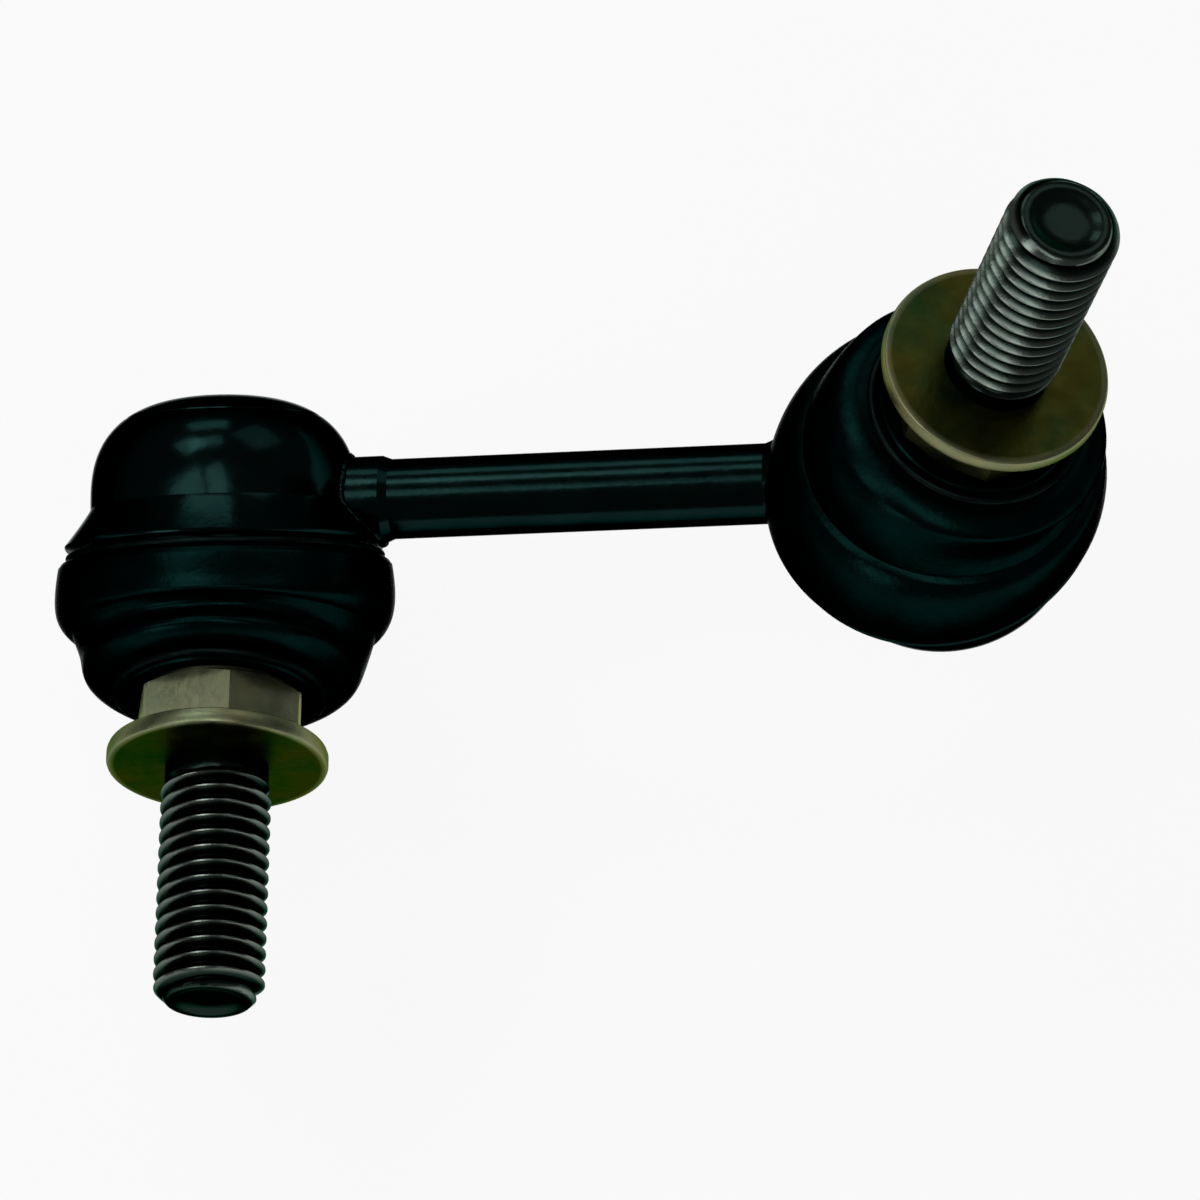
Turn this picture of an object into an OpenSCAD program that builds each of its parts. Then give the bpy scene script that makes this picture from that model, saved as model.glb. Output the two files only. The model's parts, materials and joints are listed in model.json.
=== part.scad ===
// Stabilizer link: a short bar with a ball joint welded to each end.
// The bar runs along X, the right housing faces up and the left one faces -Y, twisted a little down.
// Both studs lean in their housings as in the photograph.
// The origin is the centre of the left stud's seat face. Local joint axes: Z along the housing
// towards the stud, X the way the stud leans, and the ball centre at zero.

/* [Bar] */
// Distance between the ball centres along the bar
centre_distance = 79; // [70:1:110]
// Diameter of the bar
bar_d = 8.8; // [8:0.1:10]
// Distance of the bar's axis behind each ball centre
bar_offset = 5.2; // [4.6:0.1:6]
// Sideways distance of the right ball centre from the bar's axis
side_offset = 4.3; // [0:0.1:6]
// Thickness of the welding upset round each end of the bar
upset_t = 0.4; // [0.3:0.1:0.8]
// Length of the welding upset beyond the housing wall
upset_l = 4.2; // [2:0.2:6]

/* [Housing] */
// Wall between the seat's bore and the outside
housing_wall = 3.5; // [3:0.1:5]
// Height of the front lip that keeps the seat in
front_lip_h = 3.4; // [2.5:0.1:4.5]
// Radial reach of the flared skirt under the boot
flare_w = 2.9; // [2:0.1:3.2]
// Length of the flared skirt
flare_h = 4.5; // [3:0.1:5]
// Height of the domed back
dome_h = 7.9; // [7.5:0.1:9]
// Sheet thickness of the end cover
cover_t = 1.2; // [0.8:0.1:1.8]

/* [Ball and seat] */
// Diameter of the ball
ball_d = 18; // [16:0.5:20]
// Wall of the plastic ball seat
seat_wall = 2.1; // [1.6:0.1:3]
// Plastic behind the ball in the thrust cup
thrust_t = 2.2; // [1.8:0.1:3]

/* [Stud] */
// Diameter of the stud's neck
neck_d = 10; // [8.5:0.1:10.5]
// Diameter of the round collar that carries the boot's neck
collar_d = 16.6; // [15:0.1:17]
// Width of the hexagon across its flats
hex_af = 17; // [16:0.1:19]
// Height of the hexagon
hex_h = 6.1; // [4:0.1:8]
// Diameter of the flange
flange_d = 24; // [22:0.5:28]
// Thickness of the flange
flange_t = 1.9; // [1.5:0.1:3]
// Thread diameter of the stud
stud_d = 12; // [10:0.5:14]
// Length of the stud beyond its flange
stud_l = 27.2; // [20:0.2:40]
// Chamfer at the end of the stud
stud_chamfer = 1.4; // [0.8:0.1:2]

/* [Boot] */
// Rubber thickness
boot_wall = 1.6; // [1.2:0.1:2]
// Length of the large fold
large_fold_l = 8.2; // [7.5:0.1:10]
// Radial height of the large fold over the boot's lip
large_fold_h = 1.9; // [1.5:0.1:2.5]
// Length of the small fold
small_fold_l = 7.2; // [6:0.1:8]
// Radius of the small fold, less than the large one by this
fold_step = 2.3; // [2:0.1:3]
// Wire diameter of the large clip ring
clip_wire_d = 0.8; // [0.6:0.1:0.8]
// Wire diameter of the small neck ring
neck_wire_d = 1; // [0.8:0.1:1.1]

/* [Pose] */
// Twist of the left housing about the bar, beyond a right angle to the right one
housing_twist = 18; // [0:1:40]
// Lean of the left stud from its housing's axis
left_lean = 19.5; // [0:0.5:24]
// Direction of the left stud's lean, from up towards the left
left_lean_dir = -4; // [-90:1:90]
// Lean of the right stud from its housing's axis
right_lean = 21.5; // [0:0.5:24]
// Direction of the right stud's lean, from +X towards +Y
right_lean_dir = 19; // [-90:1:90]
// Greatest lean that the housing's mouth allows
max_lean = 26; // [24:1:27]

/* [Hidden] */
// Clearances
run_gap = 0.06;
fit_gap = 0.05;
soft_gap = 0.3;
swing_gap = 0.4;
weld_gap = 0.02;

// Housing, seat and cover, along the local axis
ball_r = ball_d / 2;
seat_in_r = ball_r + run_gap;
seat_r = seat_in_r + seat_wall;
bore_r = seat_r + fit_gap;
housing_r = bore_r + housing_wall;
seat_top = 0.4 * ball_r;
mouth = seat_top + 2 * fit_gap + front_lip_h;
seat_split = -0.33 * ball_r;
cup_back = -(seat_in_r + thrust_t);
cover_face = cup_back - fit_gap;
cover_back = cover_face - cover_t;
cover_r = bore_r + 1;
plug_r = bore_r - 0.4;
rim_r = plug_r + 2 * fit_gap;
// The back is half an ellipsoid that starts in front of the cover
dome_start = cup_back + 2;
dome_end = dome_start - dome_h;

// Bar and flared rim
bar_r = bar_d / 2;
upset_r = bar_r + upset_t;
bar_edge = upset_r - bar_offset;
flare_to_bar = 0.05;
flare_top = bar_edge + flare_to_bar;
flare_edge = 0.45;
flare_r = housing_r + flare_w;

// Boot, from its lip on the housing to its neck on the stud
lip_h = 1;
lip_in_r = housing_r + soft_gap + 0.05;
lip_r = lip_in_r + boot_wall;
lip_bottom = flare_top + swing_gap;
lip_top = lip_bottom + lip_h;
crease = lip_top + large_fold_l;
neck_bottom = crease + small_fold_l;
neck_h = 1.1;
boot_top = neck_bottom + neck_h;
neck_in_r = collar_d / 2 + soft_gap;
neck_out_r = neck_in_r + boot_wall + 0.2;
large_fold_r = lip_r + large_fold_h;
small_fold_r = large_fold_r - fold_step;
crease_r = small_fold_r + 0.1;
small_fold_h = 4.6;
grip_h = 2.4;
// Height from which the boot follows the stud's whole lean
full_lean = boot_top - grip_h - 1.4;
// How much flatter the large fold lies where the lean draws the boot tight
tight_flat = 1.8;
// How far the small fold is tucked in on the side to which the stud leans
slack_tuck = 3.6;

// Stud
neck_r = neck_d / 2;
collar_r = collar_d / 2;
collar_bottom = (mouth + collar_r * sin(max_lean) + swing_gap) / cos(max_lean);
hex_gap = 0.2;
hex_bottom = boot_top + hex_gap;
hex_top = hex_bottom + hex_h;
seat_face = hex_top + flange_t;
stud_end = seat_face + stud_l;
stud_r = stud_d / 2;
hex_corner_r = hex_af / 2 / cos(30);
dish_d = 7;
dish_t = 0.35;

// Places of the joints
left_axis = [0, -cos(housing_twist), -sin(housing_twist)];
left_up = [0, -sin(housing_twist), cos(housing_twist)];
left_side = cos(left_lean_dir) * left_up + sin(left_lean_dir) * [-1, 0, 0];
left_dir = cos(left_lean) * left_axis + sin(left_lean) * left_side;
left_ball = -seat_face * left_dir;
bar_start = left_ball - bar_offset * left_axis;
right_ball = bar_start + [centre_distance, -side_offset, bar_offset];
left_hex_turn = 47;
right_hex_turn = 15;
facets = 96;
boot_facets = 40;

// Radius that the leaning neck sweeps at a height above the ball centre
function neck_sweep(s) = s * tan(max_lean) + neck_r / cos(max_lean) + swing_gap;

// Points of an elliptic arc in (radius, height), from one angle to another
function arc(c_r, c_s, a_r, a_s, from, to, steps) =
    [for (i = [0:steps]) let (a = from + (to - from) * i / steps) [c_r + a_r * sin(a), c_s + a_s * cos(a)]];

// Height of the domed back at a radius, for an ellipsoid of that reach and height
function dome(r, reach, height) = dome_start - height * sqrt(1 - pow(r / reach, 2));

module at_left() translate(left_ball) rotate([90 + housing_twist, 0, 0]) rotate([0, 0, 90 + left_lean_dir]) children();
module at_right() translate(right_ball) rotate([0, 0, right_lean_dir]) children();

// Turned shape of the housing's outside
module housing_outside(grow = 0) {
    rotate_extrude($fn = facets) polygon(concat(
        arc(0, dome_start, housing_r + grow, dome_h + grow, 180, 90, 18),
        [for (i = [0:6]) [housing_r + grow + flare_w * pow(i / 6, 1.5), flare_top - flare_h + (flare_h - flare_edge) * i / 6]],
        [[flare_r - flare_edge + grow, flare_top],
         [housing_r + grow, flare_top],
         [housing_r + grow, mouth - 2.4],
         [housing_r - 1.6, mouth + grow],
         [0, mouth + grow]]));
}

module housing() {
    lip_bottom_r = max(neck_sweep(seat_top), sqrt(pow(ball_r + swing_gap, 2) - pow(seat_top, 2)));
    color("#15191b") difference() {
        housing_outside();
        rotate_extrude($fn = facets) polygon([
            [0, dome_end - 1], [rim_r, dome_end - 1], [rim_r, cover_back - fit_gap],
            [cover_r + fit_gap, cover_back - fit_gap], [cover_r + fit_gap, cover_face + fit_gap],
            [bore_r, cover_face + fit_gap], [bore_r, seat_top + fit_gap],
            [lip_bottom_r, seat_top + fit_gap], [neck_sweep(mouth) + 0.5, mouth + 0.01], [0, mouth + 0.01]]);
    }
}

// Pressed sheet cover: a domed plug that ends the housing's back, held at its flange by the rolled rim
module end_cover() {
    steps = 8;
    in_r = plug_r - cover_t;
    color("#1b1f21") rotate_extrude($fn = facets) polygon(concat(
        [for (i = [0:steps]) let (r = plug_r * i / steps) [r, dome(r, housing_r, dome_h)]],
        [[plug_r, cover_back], [cover_r, cover_back], [cover_r, cover_face], [in_r, cover_face]],
        [for (i = [steps:-1:0]) let (r = in_r * i / steps) [r, dome(r, housing_r - cover_t, dome_h - cover_t)]]));
}

// Plastic cup behind the ball, resting on the cover's flange
module thrust_cup() {
    color("ivory") difference() {
        translate([0, 0, cup_back]) cylinder(r = seat_r, h = seat_split - fit_gap - cup_back, $fn = facets);
        sphere(r = seat_in_r, $fn = facets);
    }
}

// Plastic ring in front of the ball's widest part
module ball_seat() {
    color("ivory") difference() {
        translate([0, 0, seat_split]) cylinder(r = seat_r, h = seat_top - seat_split, $fn = facets);
        sphere(r = seat_in_r, $fn = facets);
        for (a = [0:60:300]) rotate([0, 0, a])
            translate([seat_in_r - 1.5, -0.4, seat_split - 1]) cube([seat_wall + 3, 0.8, 3]);
    }
}

// Ball, neck, collar, hexagon, flange and shank in one forging
module ball_stud(hex_turn) {
    neck_foot = sqrt(pow(ball_r, 2) - pow(neck_r, 2));
    color("#8f8a5c") {
        sphere(r = ball_r, $fn = facets);
        rotate_extrude($fn = facets) polygon([
            [0, 0], [neck_r, 0], [neck_r, neck_foot], [neck_r, collar_bottom - 1.6],
            [collar_r - 0.6, collar_bottom], [collar_r, collar_bottom + 0.6], [collar_r, hex_bottom],
            [0, hex_bottom]]);
        intersection() {
            translate([0, 0, hex_bottom]) rotate([0, 0, hex_turn])
                cylinder(r = hex_corner_r, h = hex_h + 0.2, $fn = 6);
            rotate_extrude($fn = facets) polygon([
                [0, hex_bottom], [hex_af / 2, hex_bottom], [hex_corner_r + 0.2, hex_bottom + 0.9],
                [hex_corner_r + 0.2, hex_top + 0.2], [0, hex_top + 0.2]]);
        }
        difference() {
            rotate_extrude($fn = facets) polygon([
                [0, hex_top], [flange_d / 2 - 0.5, hex_top], [flange_d / 2, hex_top + 0.5],
                [flange_d / 2, seat_face - 0.4], [flange_d / 2 - 0.4, seat_face], [stud_r, seat_face],
                [stud_r, stud_end - stud_chamfer], [stud_r - stud_chamfer, stud_end], [0, stud_end]]);
            translate([0, 0, stud_end - dish_t]) cylinder(d1 = dish_d - 2 * dish_t, d2 = dish_d, h = dish_t + 0.01, $fn = facets);
        }
    }
}

// Profile of the boot as (radius, height): outside from lip to neck, then inside back to the lip
fold_from = 115;
fold_to = 24;
large_a_r = (large_fold_r - crease_r) / (1 - sin(fold_to));
large_c_r = large_fold_r - large_a_r;
large_a_s = large_fold_l / (cos(fold_to) - cos(fold_from));
large_c_s = crease - large_a_s * cos(fold_to);
small_a_s = (small_fold_l - 0.15) / (cos(8) - cos(114));
small_c_s = neck_bottom - small_a_s * cos(8);
small_c_r = small_fold_r - small_fold_h;
boot_profile = concat(
    [[lip_in_r, lip_bottom], [lip_r, lip_bottom], [lip_r, lip_top - 0.05]],
    arc(large_c_r, large_c_s, large_a_r, large_a_s, fold_from, fold_to, 10),
    arc(small_c_r, small_c_s, small_fold_h, small_a_s, 114, 8, 8),
    [[neck_out_r, neck_bottom + 0.1], [neck_out_r, boot_top], [neck_in_r, boot_top], [neck_in_r, boot_top - grip_h]],
    arc(small_c_r, small_c_s, small_fold_h - boot_wall, small_a_s - boot_wall, 8, 114, 6),
    arc(large_c_r, large_c_s, large_a_r - boot_wall, large_a_s - boot_wall, fold_to, fold_from, 6),
    [[lip_in_r, lip_top + boot_wall / 2]]);

// Share of the lean that a ring of the boot follows, none at the lip and all of it at the neck
function rise(s) = min(1, max(0, (s - lip_top) / (full_lean - lip_top)));
function share(u) = u * u * (3 - 2 * u);
function tuck(s) = sin(180 * min(1, max(0, (s - crease) / (boot_top - grip_h - crease))));

// One point of the leaning boot: its ring turns about the ball centre, lies flatter where it is drawn tight
// and is tucked in where it is slack
function boot_point(p, a, lean) =
    let (u = rise(p[1]),
         turn = lean * share(u),
         tight = tight_flat * sin(180 * u) * (1 - cos(a)) / 2,
         slack = slack_tuck * tuck(p[1]) * (1 + cos(a)) / 2,
         r = p[0] - (tight + slack) * lean / max_lean,
         x = r * cos(a))
    [x * cos(turn) + p[1] * sin(turn), r * sin(a), p[1] * cos(turn) - x * sin(turn)];

module dust_boot(lean) {
    rows = len(boot_profile);
    points = [for (p = boot_profile) for (j = [0:boot_facets - 1]) boot_point(p, 360 * j / boot_facets, lean)];
    faces = [for (i = [0:rows - 1]) for (j = [0:boot_facets - 1])
        let (k = (i + 1) % rows, m = (j + 1) % boot_facets,
             a = i * boot_facets + j, b = i * boot_facets + m, c = k * boot_facets + m, d = k * boot_facets + j)
        each [[a, d, c], [a, c, b]]];
    color("#101314") polyhedron(points = points, faces = faces);
}

module wire_ring(r, s, wire_d) {
    color("#22282a") rotate_extrude($fn = facets) translate([r, s]) circle(d = wire_d, $fn = 32);
}
module clip_ring() wire_ring(lip_r + clip_wire_d / 2 + fit_gap, lip_bottom + clip_wire_d / 2 + fit_gap, clip_wire_d);
module neck_ring() wire_ring(neck_out_r + soft_gap + neck_wire_d / 2, boot_top - neck_wire_d / 2, neck_wire_d);

// Bar with its welding upsets, cut to the outside of both housings
module link_bar() {
    left_reach = housing_r + upset_l;
    right_reach = centre_distance - housing_r - upset_l;
    color("#15191b") difference() {
        translate(bar_start) rotate([0, 90, 0]) rotate_extrude($fn = facets) polygon([
            [0, 0], [upset_r, 0], [upset_r, left_reach - 1], [bar_r, left_reach],
            [bar_r, right_reach], [upset_r, right_reach + 1], [upset_r, centre_distance], [0, centre_distance]]);
        at_left() housing_outside(weld_gap);
        at_right() housing_outside(weld_gap);
    }
}

module left_housing() at_left() housing();
module left_end_cover() at_left() end_cover();
module left_thrust_cup() at_left() thrust_cup();
module left_ball_seat() at_left() ball_seat();
module left_ball_stud() at_left() rotate([0, left_lean, 0]) ball_stud(left_hex_turn);
module left_dust_boot() at_left() dust_boot(left_lean);
module left_boot_clip_ring() at_left() clip_ring();
module left_boot_neck_ring() at_left() rotate([0, left_lean, 0]) neck_ring();
module right_housing() at_right() housing();
module right_end_cover() at_right() end_cover();
module right_thrust_cup() at_right() thrust_cup();
module right_ball_seat() at_right() ball_seat();
module right_ball_stud() at_right() rotate([0, right_lean, 0]) ball_stud(right_hex_turn);
module right_dust_boot() at_right() dust_boot(right_lean);
module right_boot_clip_ring() at_right() clip_ring();
module right_boot_neck_ring() at_right() rotate([0, right_lean, 0]) neck_ring();

link_bar();
left_housing();
left_end_cover();
left_thrust_cup();
left_ball_seat();
left_ball_stud();
left_dust_boot();
left_boot_clip_ring();
left_boot_neck_ring();
right_housing();
right_end_cover();
right_thrust_cup();
right_ball_seat();
right_ball_stud();
right_dust_boot();
right_boot_clip_ring();
right_boot_neck_ring();
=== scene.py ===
"""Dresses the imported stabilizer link: studs, boots, housings, weld beads, materials, light and camera."""
import json
import math

import bmesh
import bpy
import numpy as np
from mathutils import Euler, Matrix, Vector


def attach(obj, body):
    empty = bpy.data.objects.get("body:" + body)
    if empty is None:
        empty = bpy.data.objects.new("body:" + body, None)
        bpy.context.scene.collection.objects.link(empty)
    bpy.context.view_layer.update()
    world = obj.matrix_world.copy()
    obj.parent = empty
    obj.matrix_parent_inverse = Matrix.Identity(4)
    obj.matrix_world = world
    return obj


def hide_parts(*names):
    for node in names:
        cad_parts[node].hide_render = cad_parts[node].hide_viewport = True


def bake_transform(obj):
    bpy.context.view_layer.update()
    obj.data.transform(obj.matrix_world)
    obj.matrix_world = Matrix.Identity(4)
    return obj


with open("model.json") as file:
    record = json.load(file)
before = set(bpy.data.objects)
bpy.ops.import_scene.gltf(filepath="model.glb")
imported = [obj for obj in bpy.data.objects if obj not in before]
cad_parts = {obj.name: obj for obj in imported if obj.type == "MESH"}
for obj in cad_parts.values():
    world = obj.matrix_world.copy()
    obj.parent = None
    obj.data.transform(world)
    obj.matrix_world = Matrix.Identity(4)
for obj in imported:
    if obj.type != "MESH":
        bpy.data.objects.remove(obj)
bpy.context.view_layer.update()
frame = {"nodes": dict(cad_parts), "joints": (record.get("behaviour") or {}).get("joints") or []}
MM = 0.001

# Sizes that the solids share, in millimetres, measured from the ball centre along the joint
BALL_R = 9.0
NECK_R = 5.0
COLLAR_R = 8.3
COLLAR_BOTTOM = 12.37
HEX_BOTTOM = 17.75
HEX_AF = 17.0
HEX_TOP = 23.85
FLANGE_R = 12.0
SEAT_FACE = 25.75
STUD_R = 6.0
STUD_END = 52.95
STUD_CHAMFER = 1.4
PITCH = 1.75
HOUSING_R = 14.71
FLARE_W = 2.9
FLARE_START = -4.85
FLARE_END = -0.8
FLARE_TOP = -0.35
FLARE_R = HOUSING_R + FLARE_W
MOUTH = 7.1
MOUTH_R = 9.93
SEAT_TOP = 3.65
SEAT_LIP_R = 8.68
BORE_R = 11.21
DOME_START = -9.26
DOME_H = 7.9
BACK_H = FLARE_START - DOME_START + DOME_H
BACK_POWER = 2.7
SKIRT_POWER = 1.1
COVER_FACE = -11.31
COVER_BACK = -12.51
COVER_R = 12.21
COVER_T = 1.2
PLUG_R = 10.81
RIM_R = 10.91
FIT_GAP = 0.05
BAR_R = 4.8
BAR_OFFSET = 5.2
SIDE_OFFSET = {"left": 0.0, "right": 4.3}
HEX_TURN = {"left": 47.0, "right": 15.0}

# Thread on the shank: its rows over one turn, and the plain run-out next to the flange
THREAD_PHASES = (0.0, 0.21, 0.29, 0.53, 0.58, 0.67, 0.72, 0.96)
THREAD_DEPTH = 1.06
THREAD_GAP = 0.03
ROOT_END = 0.25
FLANK = 0.3125
RUNOUT = 2.0
RUNOUT_FADE = 1.2
RUNOUT_SINK = 0.35
END_DISH = ((3.6, 0.0), (3.3, 0.3), (1.6, 0.35), (0, 0.35))

# How pale the zinc is, 0 dull and 1 pale, as painted light: pale on the left hex and the flange rims where
# light falls, dull on the flange faces and the right hex where shade falls; and how bright the thread's
# run-out, chamfer and end are
SHANK_PALENESS = 0.6
HEX_PAINTED_LIGHT = {"left": 1.0, "right": 0.1}
FLANGE_PAINTED_LIGHT = [0.2, 0.5, 0.5, 0.5, 0.65, 0.3, 0, 0, 0, 0]
RUNOUT_CREST = 0.35
CHAMFER_CREST = 0.6
END_CREST = 0.42

# Boot: the profile is that of the solids, the lean and the swell are fitted to the photograph
BOOT_WALL = 1.6
LIP_IN_R = 15.06
LIP_R = 16.66
LIP_BOTTOM = 0.05
LIP_TOP = 1.05
CREASE = 9.25
NECK_BOTTOM = 16.45
BOOT_TOP = 17.55
NECK_IN_R = 8.6
NECK_OUT_R = 10.4
LARGE_FOLD_R = 18.56
SMALL_FOLD_R = 16.26
CREASE_R = 16.36
SMALL_FOLD_H = 4.6
FOLD_FROM = 115.0
FOLD_TO = 24.0
GRIP_H = 2.4
LEAN_FROM = 3.5
FULL_LEAN = BOOT_TOP - GRIP_H
TIGHT_FLAT = 1.8
SLACK_TUCK = 3.6
SWELL = {"left": 1.5, "right": 0.3}
SWELL_POWER = 1.5
MAX_LEAN = 26.0

# Points round each turned shape
HEAD_COLUMNS, THREAD_COLUMNS, BOOT_COLUMNS, HOUSING_COLUMNS = 96, 72, 120, 144
BEAD_R = 0.46
BEAD_RIPPLE = 0.03
BEAD_ROWS, BEAD_SIDES = 180, 12
WELD_DISTANCE = 1e-4


class Joint:
    """Ball centre and local axes of one ball joint: Z along the housing, X the way the stud leans."""

    def __init__(self, side):
        by_name = {j["name"]: j for j in frame["joints"]}
        swing, tilt, spin = (by_name[side + "_stud_" + k] for k in ("swing", "tilt", "spin"))
        self.side = side
        self.ball = Vector(swing["pos_m"])
        self.z = Vector(swing["axis"])
        self.y = Vector(tilt["axis"])
        self.x = self.y.cross(self.z)
        self.stud = Vector(spin["axis"])
        self.lean = math.degrees(self.z.angle(self.stud))

    def matrix(self, lean=0.0):
        """Places local millimetres in the frame, leaned about the tilt axis by some degrees."""
        turn = Matrix.Rotation(math.radians(lean), 4, "Y")
        axes = Matrix((self.x, self.y, self.z)).transposed().to_4x4()
        return Matrix.Translation(self.ball) @ axes @ turn @ Matrix.Scale(MM, 4)


JOINTS = {side: Joint(side) for side in ("left", "right")}


# Materials

DARK_EDGE = (0.02, 0.04, 0.04)


def material(name, metallic=0.0, specular=0.5, tint=(1, 1, 1)):
    """A Principled material with its constants on the sockets; returns the node tree's parts."""
    mat = bpy.data.materials.new(name)
    mat.use_nodes = True
    nodes, links = mat.node_tree.nodes, mat.node_tree.links
    shader = nodes["Principled BSDF"]
    shader.inputs["Metallic"].default_value = metallic
    shader.inputs["Specular IOR Level"].default_value = specular
    shader.inputs["Specular Tint"].default_value = (*tint, 1)
    return mat, nodes, links, shader


def noise(nodes, links, scale, detail=4.0, rough=0.55):
    """Noise in the object's own metres; scale is features per metre."""
    place = nodes.new("ShaderNodeTexCoord")
    tex = nodes.new("ShaderNodeTexNoise")
    tex.inputs["Scale"].default_value = scale
    tex.inputs["Detail"].default_value = detail
    tex.inputs["Roughness"].default_value = rough
    links.new(place.outputs["Object"], tex.inputs["Vector"])
    return tex.outputs["Fac"]


def ramp(nodes, links, source, stops):
    """Colour ramp with (place, colour) stops."""
    node = nodes.new("ShaderNodeValToRGB")
    elements = node.color_ramp.elements
    while len(elements) < len(stops):
        elements.new(0.5)
    for element, (place, colour) in zip(elements, stops):
        element.position = place
        element.color = (*colour, 1)
    links.new(source, node.inputs["Fac"])
    return node.outputs["Color"]


def spread(nodes, links, source, low, high):
    """Maps a noise value from its middle range to low and high."""
    node = nodes.new("ShaderNodeMapRange")
    node.inputs["From Min"].default_value = 0.3
    node.inputs["From Max"].default_value = 0.7
    node.inputs["To Min"].default_value = low
    node.inputs["To Max"].default_value = high
    links.new(source, node.inputs["Value"])
    return node.outputs["Result"]


def bump(nodes, links, source, shader, strength, distance):
    """Raises the surface by a noise value; distance is in metres."""
    node = nodes.new("ShaderNodeBump")
    node.inputs["Strength"].default_value = strength
    node.inputs["Distance"].default_value = distance
    links.new(source, node.inputs["Height"])
    links.new(node.outputs["Normal"], shader.inputs["Normal"])


def clouded(name, scale, low, high, rough_scale, rough, **kind):
    """A material whose colour drifts between two values and whose roughness varies within a range."""
    mat, nodes, links, shader = material(name, **kind)
    colour = ramp(nodes, links, noise(nodes, links, scale), [(0.35, low), (0.65, high)])
    links.new(colour, shader.inputs["Base Color"])
    links.new(spread(nodes, links, noise(nodes, links, rough_scale), *rough), shader.inputs["Roughness"])
    return mat, nodes, links, shader


def black_paint():
    """Thin black coat on steel: dark teal gloss whose edges stay dark."""
    mat, nodes, links, shader = clouded(
        "black_paint", 160, (0.0036, 0.0125, 0.0116), (0.005, 0.016, 0.0148), 420, (0.13, 0.2),
        metallic=1.0, tint=DARK_EDGE)
    bump(nodes, links, noise(nodes, links, 700, 3), shader, 0.22, 0.0001)
    return mat


def boot_rubber():
    """Black rubber with the same dark teal skin as the paint, rougher and with a fine grain."""
    mat, nodes, links, shader = clouded(
        "boot_rubber", 220, (0.0011, 0.0078, 0.0072), (0.0018, 0.0106, 0.0097), 520, (0.23, 0.34),
        metallic=1.0, tint=DARK_EDGE)
    bump(nodes, links, noise(nodes, links, 1500, 5), shader, 0.3, 0.00012)
    return mat


def zinc():
    """Yellow zinc plating: dark olive and green clouds, paler where the point attribute is high, which is
    painted light: pale where light falls, dull where shade falls.
    """
    mat, nodes, links, shader = material("yellow_zinc", metallic=1.0, tint=(0.26, 0.36, 0.2))
    cloud = noise(nodes, links, 110, 5, 0.62)
    dull = ramp(nodes, links, cloud, [(0.32, (0.014, 0.04, 0.012)), (0.46, (0.034, 0.05, 0.012)),
                                      (0.56, (0.05, 0.053, 0.01)), (0.7, (0.052, 0.046, 0.009))])
    pale = ramp(nodes, links, cloud, [(0.3, (0.26, 0.31, 0.19)), (0.5, (0.36, 0.39, 0.23)),
                                      (0.7, (0.42, 0.38, 0.2))])
    painted_light = nodes.new("ShaderNodeAttribute")
    painted_light.attribute_name = "painted_light"
    mix = nodes.new("ShaderNodeMix")
    mix.data_type = "RGBA"
    links.new(painted_light.outputs["Fac"], mix.inputs["Factor"])
    links.new(dull, mix.inputs["A"])
    links.new(pale, mix.inputs["B"])
    links.new(mix.outputs["Result"], shader.inputs["Base Color"])
    links.new(spread(nodes, links, noise(nodes, links, 380), 0.30, 0.46), shader.inputs["Roughness"])
    bump(nodes, links, noise(nodes, links, 1300, 4), shader, 0.3, 0.0001)
    return mat


def thread_steel():
    """Dark oiled steel, bright where the attribute crest is high: the dark roots are partly oil and partly
    painted shade in the hollows, and the pale crests partly painted highlight.
    """
    mat, nodes, links, shader = material("thread_steel", metallic=1.0, tint=(0.2, 0.29, 0.26))
    height = nodes.new("ShaderNodeAttribute")
    height.attribute_name = "crest"
    stops = [(0.0, (0.002, 0.004, 0.003)), (0.55, (0.018, 0.03, 0.025)), (1.0, (0.15, 0.18, 0.156))]
    links.new(ramp(nodes, links, height.outputs["Fac"], stops), shader.inputs["Base Color"])
    links.new(spread(nodes, links, noise(nodes, links, 600), 0.17, 0.27), shader.inputs["Roughness"])
    bump(nodes, links, noise(nodes, links, 1800, 4), shader, 0.25, 0.00008)
    return mat


def ring_steel():
    """Oxide-black spring steel of the boots' rings."""
    return clouded("ring_steel", 300, (0.003, 0.007, 0.0065), (0.007, 0.014, 0.013), 700, (0.3, 0.5),
                   metallic=1.0, tint=(0.05, 0.07, 0.07))[0]


def ball_steel():
    """Bright ground steel of the balls and necks."""
    return clouded("ball_steel", 240, (0.42, 0.43, 0.42), (0.5, 0.51, 0.5), 900, (0.12, 0.2), metallic=1.0)[0]


def seat_plastic():
    """Off-white plastic of the seats and thrust cups."""
    return clouded("seat_plastic", 200, (0.72, 0.70, 0.62), (0.79, 0.77, 0.69), 800, (0.4, 0.55),
                   specular=0.4)[0]


PAINT, RUBBER, ZINC, THREAD, RING, BALL, SEAT = (
    black_paint(), boot_rubber(), zinc(), thread_steel(), ring_steel(), ball_steel(), seat_plastic())


# Mesh helpers


def new_object(name, mesh, *materials):
    """Puts a mesh in the scene with its materials."""
    obj = bpy.data.objects.new(name, mesh)
    bpy.context.scene.collection.objects.link(obj)
    for mat in materials:
        mesh.materials.append(mat)
    return obj


def ring_grid(name, rows, closed=False, shift=0):
    """Mesh over rows of points, each row a closed ring; closed joins the last row to the first.
    With a shift, the seam joins each row to the one that many rows on, as a screw thread does."""
    count, columns = rows.shape[:2]
    faces = []
    for i in range(count if closed else count - 1):
        k = (i + 1) % count
        for j in range(columns):
            m = (j + 1) % columns
            step = shift if m == 0 else 0
            if max(i, k) + step >= count:
                continue
            faces.append((i * columns + j, (i + step) * columns + m,
                          (k + step) * columns + m, k * columns + j))
    mesh = bpy.data.meshes.new(name)
    mesh.from_pydata(rows.reshape(-1, 3).tolist(), [], faces)
    return mesh


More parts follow.
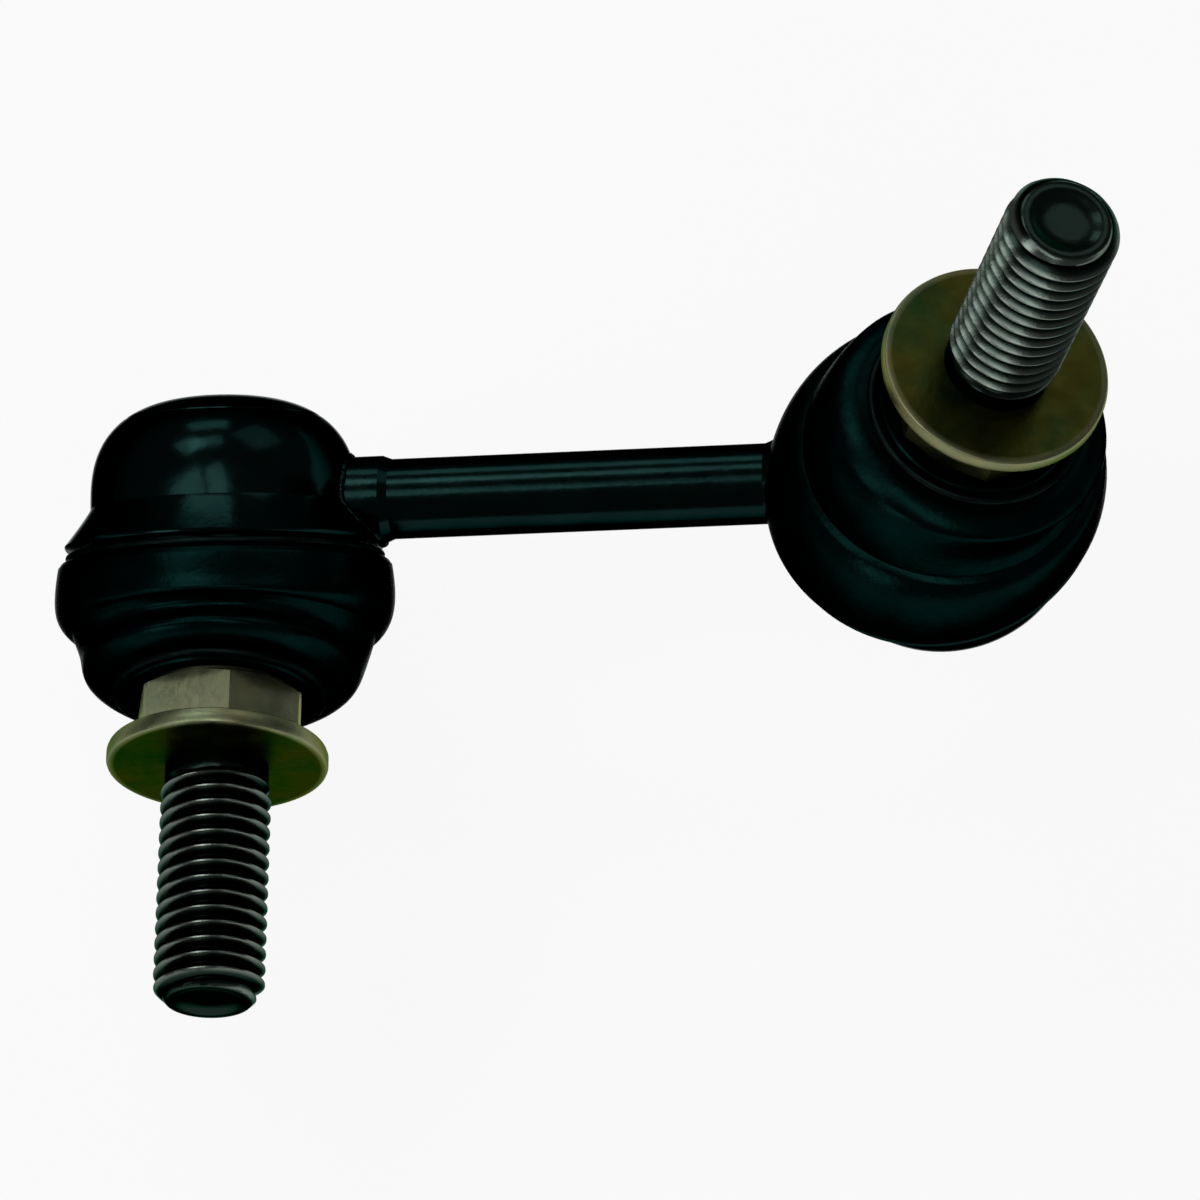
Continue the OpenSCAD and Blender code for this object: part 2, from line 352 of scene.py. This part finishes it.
def smooth_by_angle(mesh, degrees):
    """Smooth faces with sharp edges where two faces meet at more than some degrees."""
    bm = bmesh.new()
    bm.from_mesh(mesh)
    bmesh.ops.recalc_face_normals(bm, faces=bm.faces)
    for face in bm.faces:
        face.smooth = True
    for edge in bm.edges:
        edge.smooth = len(edge.link_faces) == 2 and edge.calc_face_angle(0.0) < math.radians(degrees)
    bm.to_mesh(mesh)
    bm.free()


def set_points(mesh, name, values):
    """Stores one number per point, which a material reads by name."""
    mesh.attributes.new(name, "FLOAT", "POINT").data.foreach_set("value", np.array(values, np.float32))


def weld(mesh):
    """Joins points that lie on each other, as at the middle of a turned face."""
    bm = bmesh.new()
    bm.from_mesh(mesh)
    bmesh.ops.remove_doubles(bm, verts=bm.verts, dist=WELD_DISTANCE)
    bmesh.ops.dissolve_degenerate(bm, edges=bm.edges, dist=WELD_DISTANCE)
    bm.to_mesh(mesh)
    bm.free()


def turned(profile, columns):
    """Rows of a turned shape from (radius, height) points."""
    a = np.linspace(0, 2 * math.pi, columns, endpoint=False)
    return np.array([[(r * math.cos(t), r * math.sin(t), s) for t in a] for r, s in profile])


def arc(c_r, c_s, a_r, a_s, start, stop, steps):
    """Points of an elliptic arc as (radius, height)."""
    angles = np.radians(np.linspace(start, stop, steps + 1))
    return [(c_r + a_r * math.sin(t), c_s + a_s * math.cos(t)) for t in angles]


# Studs


def stud_head(joint):
    """Ball, neck, collar, hexagon and flange."""
    columns = HEAD_COLUMNS
    foot = math.sqrt(BALL_R ** 2 - NECK_R ** 2)
    stop = math.degrees(math.atan2(NECK_R, foot))
    ball = [(BALL_R * math.sin(t), BALL_R * math.cos(t)) for t in np.radians(np.linspace(180, stop, 24))]
    neck = [(NECK_R, foot + 0.2), (NECK_R, COLLAR_BOTTOM - 1.6), (COLLAR_R - 0.6, COLLAR_BOTTOM),
            (COLLAR_R, COLLAR_BOTTOM + 0.6), (COLLAR_R, HEX_BOTTOM), (HEX_AF / 2 * 0.985, HEX_BOTTOM)]
    flange = [(FLANGE_R - 0.5, HEX_TOP), (FLANGE_R - 0.14, HEX_TOP + 0.12), (FLANGE_R, HEX_TOP + 0.5),
              (FLANGE_R, SEAT_FACE - 0.4), (FLANGE_R - 0.12, SEAT_FACE - 0.1), (FLANGE_R - 0.4, SEAT_FACE),
              (FLANGE_R - 0.9, SEAT_FACE), (8.6, SEAT_FACE), (5.4, SEAT_FACE), (0, SEAT_FACE)]
    # Zinc paleness per row is painted light: the left hex and the flange rims pale where light falls, the
    # flange faces and the right hex dull in shade
    painted_light = [SHANK_PALENESS] * len(ball + neck) + [HEX_PAINTED_LIGHT[joint.side]] * 2 + FLANGE_PAINTED_LIGHT
    angles = np.linspace(0, 360, columns, endpoint=False)
    corner = HEX_AF / 2 / math.cos(math.radians(30))
    from_flat = [math.radians((a - HEX_TURN[joint.side]) % 60 - 30) for a in angles]
    flat = np.array([HEX_AF / 2 / math.cos(a) for a in from_flat])
    chamfer = HEX_BOTTOM + 0.9 * (flat - HEX_AF / 2) / (corner + 0.2 - HEX_AF / 2)
    turn = np.radians(angles)
    across = np.stack([flat * np.cos(turn), flat * np.sin(turn)], 1)
    low = np.column_stack([across, chamfer])
    high = np.column_stack([across, np.full(columns, HEX_TOP)])
    rows = np.concatenate([turned(ball + neck, columns), low[None], high[None], turned(flange, columns)])
    mesh = ring_grid(joint.side + "_stud_head", rows)
    set_points(mesh, "painted_light", np.repeat(painted_light, columns))
    weld(mesh)
    smooth_by_angle(mesh, 24)
    obj = new_object(joint.side + "_stud_head", mesh, ZINC, BALL)
    for face in mesh.polygons:
        face.material_index = 1 if face.center.z < COLLAR_BOTTOM else 0
    bevel = obj.modifiers.new("edges", "BEVEL")
    bevel.width = 0.14
    bevel.segments = 2
    bevel.limit_method = "ANGLE"
    bevel.angle_limit = math.radians(35)
    return obj


def stud_thread(joint):
    """Helical thread with a plain run-out at the flange, a chamfered end and a shallow dish."""
    columns = THREAD_COLUMNS
    turns = int((STUD_END - SEAT_FACE) / PITCH) + 3
    rows, crest = [], []
    for n in range(turns):
        for phase in THREAD_PHASES:
            up = min(1.0, max(0.0, (phase - ROOT_END) / FLANK))
            down = min(1.0, max(0.0, (1.0 - phase) / FLANK))
            h = min(up, down)
            row = []
            for j in range(columns):
                s = SEAT_FACE + (n + phase + j / columns - 1) * PITCH
                s = min(max(s, SEAT_FACE), STUD_END)
                fade = min(1.0, max(0.0, (s - SEAT_FACE - RUNOUT) / RUNOUT_FADE))
                r = STUD_R - THREAD_GAP - THREAD_DEPTH * (1 - h) * fade - RUNOUT_SINK * (1 - fade)
                r = min(r, STUD_R - STUD_CHAMFER + (STUD_END - s))
                t = 2 * math.pi * j / columns
                row.append((r * math.cos(t), r * math.sin(t), s))
                crest.append(h * fade + RUNOUT_CREST * (1 - fade) if s < STUD_END - 0.05 else CHAMFER_CREST)
            rows.append(row)
    for r, sink in END_DISH:
        rows.append([tuple(p) for p in turned([(r, STUD_END - sink)], columns)[0]])
        crest += [END_CREST] * columns
    rows = np.array(rows)
    count = turns * len(THREAD_PHASES)
    screw = ring_grid("screw", rows[:count], shift=len(THREAD_PHASES))
    faces = [tuple(p.vertices) for p in screw.polygons]
    bpy.data.meshes.remove(screw)
    for i in range(count - 1, len(rows) - 1):
        for j in range(columns):
            m = (j + 1) % columns
            faces.append((i * columns + j, i * columns + m, (i + 1) * columns + m, (i + 1) * columns + j))
    mesh = bpy.data.meshes.new(joint.side + "_stud_thread")
    mesh.from_pydata(rows.reshape(-1, 3).tolist(), [], faces)
    set_points(mesh, "crest", crest)
    weld(mesh)
    smooth_by_angle(mesh, 50)
    return new_object(joint.side + "_stud_thread", mesh, THREAD)


# Boots


def boot_profile():
    """The rubber's outline as (radius, height): outside from lip to neck, inside back to the lip."""
    cos = lambda d: math.cos(math.radians(d))
    a_s = (CREASE - LIP_TOP) / (cos(FOLD_TO) - cos(FOLD_FROM))
    c_s = CREASE - a_s * cos(FOLD_TO)
    a_r = (LARGE_FOLD_R - CREASE_R) / (1 - math.sin(math.radians(FOLD_TO)))
    c_r = LARGE_FOLD_R - a_r
    fold_start = c_r + a_r * math.sin(math.radians(FOLD_FROM))
    b_s = (NECK_BOTTOM - CREASE - 0.15) / (cos(8) - cos(114))
    d_s = NECK_BOTTOM - b_s * cos(8)
    d_r = SMALL_FOLD_R - SMALL_FOLD_H
    return ([(LIP_IN_R, LIP_BOTTOM), (LIP_R - 0.2, LIP_BOTTOM), (LIP_R, LIP_BOTTOM + 0.2),
             (LIP_R, LIP_TOP - 0.25), (LIP_R + 0.25, LIP_TOP)]
            + arc(fold_start - 0.62, LIP_TOP + 0.6, 0.6, 0.6, 180, 106, 6)
            + arc(c_r, c_s, a_r, a_s, FOLD_FROM - 6, FOLD_TO, 26)
            + arc(d_r, d_s, SMALL_FOLD_H, b_s, 114, 8, 20)
            + [(NECK_OUT_R + 0.25, NECK_BOTTOM + 0.05), (NECK_OUT_R, NECK_BOTTOM + 0.25),
               (NECK_OUT_R, BOOT_TOP - 0.2), (NECK_OUT_R - 0.2, BOOT_TOP), (NECK_IN_R + 0.1, BOOT_TOP),
               (NECK_IN_R, BOOT_TOP - 0.1), (NECK_IN_R, BOOT_TOP - GRIP_H)]
            + arc(d_r, d_s, SMALL_FOLD_H - BOOT_WALL, b_s - BOOT_WALL, 8, 114, 8)
            + arc(c_r, c_s, a_r - BOOT_WALL, a_s - BOOT_WALL, FOLD_TO, FOLD_FROM, 8)
            + [(LIP_IN_R, LIP_TOP + BOOT_WALL / 2)])


def dust_boot(joint):
    """The boot is made straight, then bent to the stud's lean at rest."""
    rows = turned(boot_profile(), BOOT_COLUMNS)
    mesh = ring_grid(joint.side + "_boot", rows, closed=True)
    smooth_by_angle(mesh, 42)
    obj = new_object(joint.side + "_boot", mesh, RUBBER)
    place = joint.matrix()
    mesh.transform(place)
    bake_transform(obj)
    local = rows.reshape(-1, 3)
    part = lambda start: np.clip((local[:, 2] - start) / (FULL_LEAN - start), 0, 1)
    u = part(LEAN_FROM)
    turn = np.radians(joint.lean) * u * u * (3 - 2 * u)
    radius = np.hypot(local[:, 0], local[:, 1])
    toward = local[:, 0] / radius
    tight = TIGHT_FLAT * np.sin(math.pi * part(LIP_TOP)) * (1 - toward) / 2
    slack = SLACK_TUCK * np.sin(math.pi * part(CREASE)) * (1 + toward) / 2
    swell = SWELL[joint.side] * np.sin(math.pi * part(LIP_TOP) ** SWELL_POWER)
    flat = (tight + slack) * joint.lean / MAX_LEAN - swell
    x, y = (local[:, i] * (1 - flat / radius) for i in (0, 1))
    s = local[:, 2]
    bent = np.column_stack([x * np.cos(turn) + s * np.sin(turn), y, s * np.cos(turn) - x * np.sin(turn)])
    for vertex, point in zip(mesh.vertices, bent):
        vertex.co = place @ Vector(point)
    mesh.update()
    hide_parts(joint.side + "_dust_boot")


# Housings, end covers, and weld beads where the bar meets each housing


def housing_reach(s):
    """Radius of the housing at a height: a back that rounds off smoothly, and a flared skirt."""
    u = min(1.0, max(0.0, (s - FLARE_START) / (FLARE_END - FLARE_START)))
    w = min(1.0, max(0.0, (FLARE_START - s) / BACK_H))
    return HOUSING_R * (1 - w ** BACK_POWER) ** (1 / BACK_POWER) + FLARE_W * u ** SKIRT_POWER


def back_curve(from_r, to_r, steps):
    """Points of the rounded back between two radii."""
    power = 2 / BACK_POWER
    start, stop = (math.asin((r / HOUSING_R) ** (BACK_POWER / 2)) for r in (from_r, to_r))
    return [(HOUSING_R * math.sin(t) ** power, FLARE_START - BACK_H * abs(math.cos(t)) ** power)
            for t in np.linspace(start, stop, steps + 1)]


def housing_profile():
    """Outline of the turned housing: back, skirt and front, then the bore back to the rim."""
    back = back_curve(RIM_R + 0.2, HOUSING_R, 40)
    skirt = [(housing_reach(s), s) for s in np.linspace(FLARE_START, FLARE_END, 18)]
    return ([(RIM_R, back[0][1] + 0.15)] + back + skirt
            + [(FLARE_R - 0.05, FLARE_TOP - 0.25), (FLARE_R - 0.18, FLARE_TOP - 0.09),
               (FLARE_R - 0.45, FLARE_TOP), (HOUSING_R, FLARE_TOP), (HOUSING_R, MOUTH - 2.4),
               (HOUSING_R - 1.6, MOUTH), (MOUTH_R, MOUTH),
               (SEAT_LIP_R, SEAT_TOP), (BORE_R, SEAT_TOP), (BORE_R, COVER_FACE + FIT_GAP),
               (COVER_R + FIT_GAP, COVER_FACE + FIT_GAP), (COVER_R + FIT_GAP, COVER_BACK - FIT_GAP),
               (RIM_R, COVER_BACK - FIT_GAP)])


def cover_profile():
    """Outline of the pressed cover, from the middle of its back round its flange to the middle inside."""
    in_r = PLUG_R - COVER_T
    inside = 180 - math.degrees(math.asin(in_r / (HOUSING_R - COVER_T)))
    back = back_curve(0, PLUG_R - 0.2, 24)
    return (back + [(PLUG_R, back[-1][1] + 0.2), (PLUG_R, COVER_BACK), (COVER_R, COVER_BACK),
                    (COVER_R, COVER_FACE), (in_r, COVER_FACE)]
            + arc(0, DOME_START, HOUSING_R - COVER_T, DOME_H - COVER_T, inside, 180, 14))


def painted_turning(joint, name, profile, closed):
    """A turned piece of the link that takes the place of its solid, so that its curves are smooth."""
    mesh = ring_grid(joint.side + name + "_turned", turned(profile, HOUSING_COLUMNS), closed=closed)
    weld(mesh)
    smooth_by_angle(mesh, 28)
    mesh.transform(joint.matrix())
    obj = new_object(mesh.name, mesh, PAINT)
    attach(obj, "link")
    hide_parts(joint.side + name)


def weld_bead(joint):
    """A rippled bead along the line where the bar, which runs along X, enters the housing."""
    inward = 1 if joint.side == "left" else -1
    across = Vector((0, SIDE_OFFSET[joint.side], 0)) - joint.z * BAR_OFFSET
    rows = []
    for i in range(BEAD_ROWS):
        t = 2 * math.pi * i / BEAD_ROWS
        radial = Vector((0, math.cos(t), math.sin(t)))
        off = across + radial * BAR_R
        height = off.dot(joint.z)
        along = off - joint.z * height
        side = math.sqrt(housing_reach(height) ** 2 - along.length_squared)
        centre = off + Vector((inward * side, 0, 0))
        wall = (along + Vector((inward * side, 0, 0))).normalized()
        size = BEAD_R + BEAD_RIPPLE * math.sin(34 * t) + BEAD_RIPPLE * math.sin(13 * t + 1)
        row = []
        for j in range(BEAD_SIDES):
            a = 2 * math.pi * j / BEAD_SIDES
            p = centre + (wall * math.cos(a) + radial * math.sin(a)) * size
            row.append(tuple(joint.ball + p * MM))
        rows.append(row)
    mesh = ring_grid(joint.side + "_weld_bead", np.array(rows), closed=True)
    smooth_by_angle(mesh, 80)
    obj = new_object(joint.side + "_weld_bead", mesh, PAINT)
    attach(obj, "link")


for joint in JOINTS.values():
    side = joint.side
    head, thread = stud_head(joint), stud_thread(joint)
    for piece in (head, thread):
        piece.data.transform(joint.matrix(joint.lean))
        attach(piece, side + "_stud")
    head.modifiers["edges"].width *= MM
    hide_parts(side + "_ball_stud")
    dust_boot(joint)
    painted_turning(joint, "_housing", housing_profile(), True)
    painted_turning(joint, "_end_cover", cover_profile(), False)
    weld_bead(joint)

LOOKS = (("_ring", RING), ("_seat", SEAT), ("_cup", SEAT), ("_stud", ZINC), ("_dust_boot", RUBBER))
for name, node in frame["nodes"].items():
    look = next((mat for ending, mat in LOOKS if name.endswith(ending)), PAINT)
    node.data.materials.clear()
    node.data.materials.append(look)


# Camera at the photograph's viewing angle

camera = bpy.data.objects.new("camera", bpy.data.cameras.new("camera"))
camera.data.lens = 184.67
camera.data.sensor_width = 36
camera.location = (0.14334, -0.2511, 0.60012)
camera.rotation_euler = Euler([math.radians(a) for a in (24.111, 8.947, 1.589)])
camera.data.clip_start, camera.data.clip_end = 0.01, 20
bpy.context.scene.collection.objects.link(camera)
bpy.context.scene.camera = camera
bpy.context.view_layer.update()
view = camera.matrix_world.to_3x3()
RIGHT, UP, BACK = (view.col[i].normalized() for i in range(3))


# Floor, just below the lowest point that the left stud can reach

FLOOR_GAP = 1.0
FLOOR_REACH = 3.0
FLOOR_GLOW = 0.9
left = JOINTS["left"]
steepest = left.z.angle(Vector((0, 0, -1))) - math.radians(MAX_LEAN)
drop = STUD_END * math.cos(steepest) + STUD_R * math.sin(steepest)
mesh = bpy.data.meshes.new("floor")
mesh.from_pydata([(FLOOR_REACH * x, FLOOR_REACH * y, 0) for x, y in ((-1, -1), (1, -1), (1, 1), (-1, 1))],
                 [], [(0, 1, 2, 3)])
floor = bpy.data.objects.new("floor", mesh)
floor.location = (0, 0, left.ball.z - (drop + FLOOR_GAP) * MM)
bpy.context.scene.collection.objects.link(floor)


def seen_directly(nodes, links):
    """One on camera, glossy and transmission rays, and zero on others."""
    path = nodes.new("ShaderNodeLightPath")
    first = nodes.new("ShaderNodeMath")
    first.operation = "MAXIMUM"
    links.new(path.outputs["Is Camera Ray"], first.inputs[0])
    links.new(path.outputs["Is Glossy Ray"], first.inputs[1])
    both = nodes.new("ShaderNodeMath")
    both.operation = "MAXIMUM"
    links.new(first.outputs[0], both.inputs[0])
    links.new(path.outputs["Is Transmission Ray"], both.inputs[1])
    return both.outputs[0]


def floor_material():
    """White paper that keeps its shadow, and glows on the rays that show it directly."""
    mat = bpy.data.materials.new("floor_paper")
    mat.use_nodes = True
    nodes, links = mat.node_tree.nodes, mat.node_tree.links
    nodes.clear()
    out = nodes.new("ShaderNodeOutputMaterial")
    paper = nodes.new("ShaderNodeBsdfDiffuse")
    paper.inputs["Color"].default_value = (0.93, 0.93, 0.93, 1)
    glow = nodes.new("ShaderNodeEmission")
    glow.inputs["Color"].default_value = (1, 1, 1, 1)
    glow.inputs["Strength"].default_value = 1.0
    amount = nodes.new("ShaderNodeMath")
    amount.operation = "MULTIPLY"
    amount.inputs[1].default_value = FLOOR_GLOW
    links.new(seen_directly(nodes, links), amount.inputs[0])
    mix = nodes.new("ShaderNodeMixShader")
    links.new(amount.outputs[0], mix.inputs[0])
    links.new(paper.outputs[0], mix.inputs[1])
    links.new(glow.outputs[0], mix.inputs[2])
    links.new(mix.outputs[0], out.inputs["Surface"])
    return mat


floor.data.materials.append(floor_material())

world = bpy.data.worlds.new("studio")
bpy.context.scene.world = world
world.use_nodes = True
sky = world.node_tree.nodes["Background"]
sky.inputs["Color"].default_value = (1, 1, 1, 1)
sky.inputs["Strength"].default_value = 0.12

# Soft boxes, placed from the camera's axes: sideways, upwards and towards the camera

MIDDLE = Vector((0.042, 0.02, 0.01))


def soft_box(name, sideways, upwards, nearer, width, height, watts):
    """A white area lamp that points at the middle of the part."""
    lamp = bpy.data.lights.new(name, "AREA")
    lamp.shape = "RECTANGLE"
    lamp.size, lamp.size_y = width, height
    lamp.energy = watts
    obj = bpy.data.objects.new(name, lamp)
    obj.location = MIDDLE + RIGHT * sideways + UP * upwards + BACK * nearer
    obj.rotation_euler = (MIDDLE - obj.location).to_track_quat("-Z", "Y").to_euler()
    bpy.context.scene.collection.objects.link(obj)


soft_box("window_left", -0.489, 0.091, 0.626, 0.23, 0.63, 1.1)
soft_box("window_right", -0.014, 0.091, 0.795, 0.21, 0.63, 1.0)
soft_box("upper_left", -0.364, 0.566, 0.433, 0.25, 0.25, 0.4)
soft_box("low_left", -0.47, -0.5, 0.406, 0.22, 0.22, 0.5)
soft_box("strip_high", -0.17, 0.773, 0.117, 0.34, 0.2, 0.45)
soft_box("strip_front", -0.218, 0.614, 0.464, 0.34, 0.17, 0.4)
soft_box("top_right", 0.3, 0.68, 0.29, 0.4, 0.4, 0.35)

bpy.context.scene.view_settings.view_transform = "Standard"
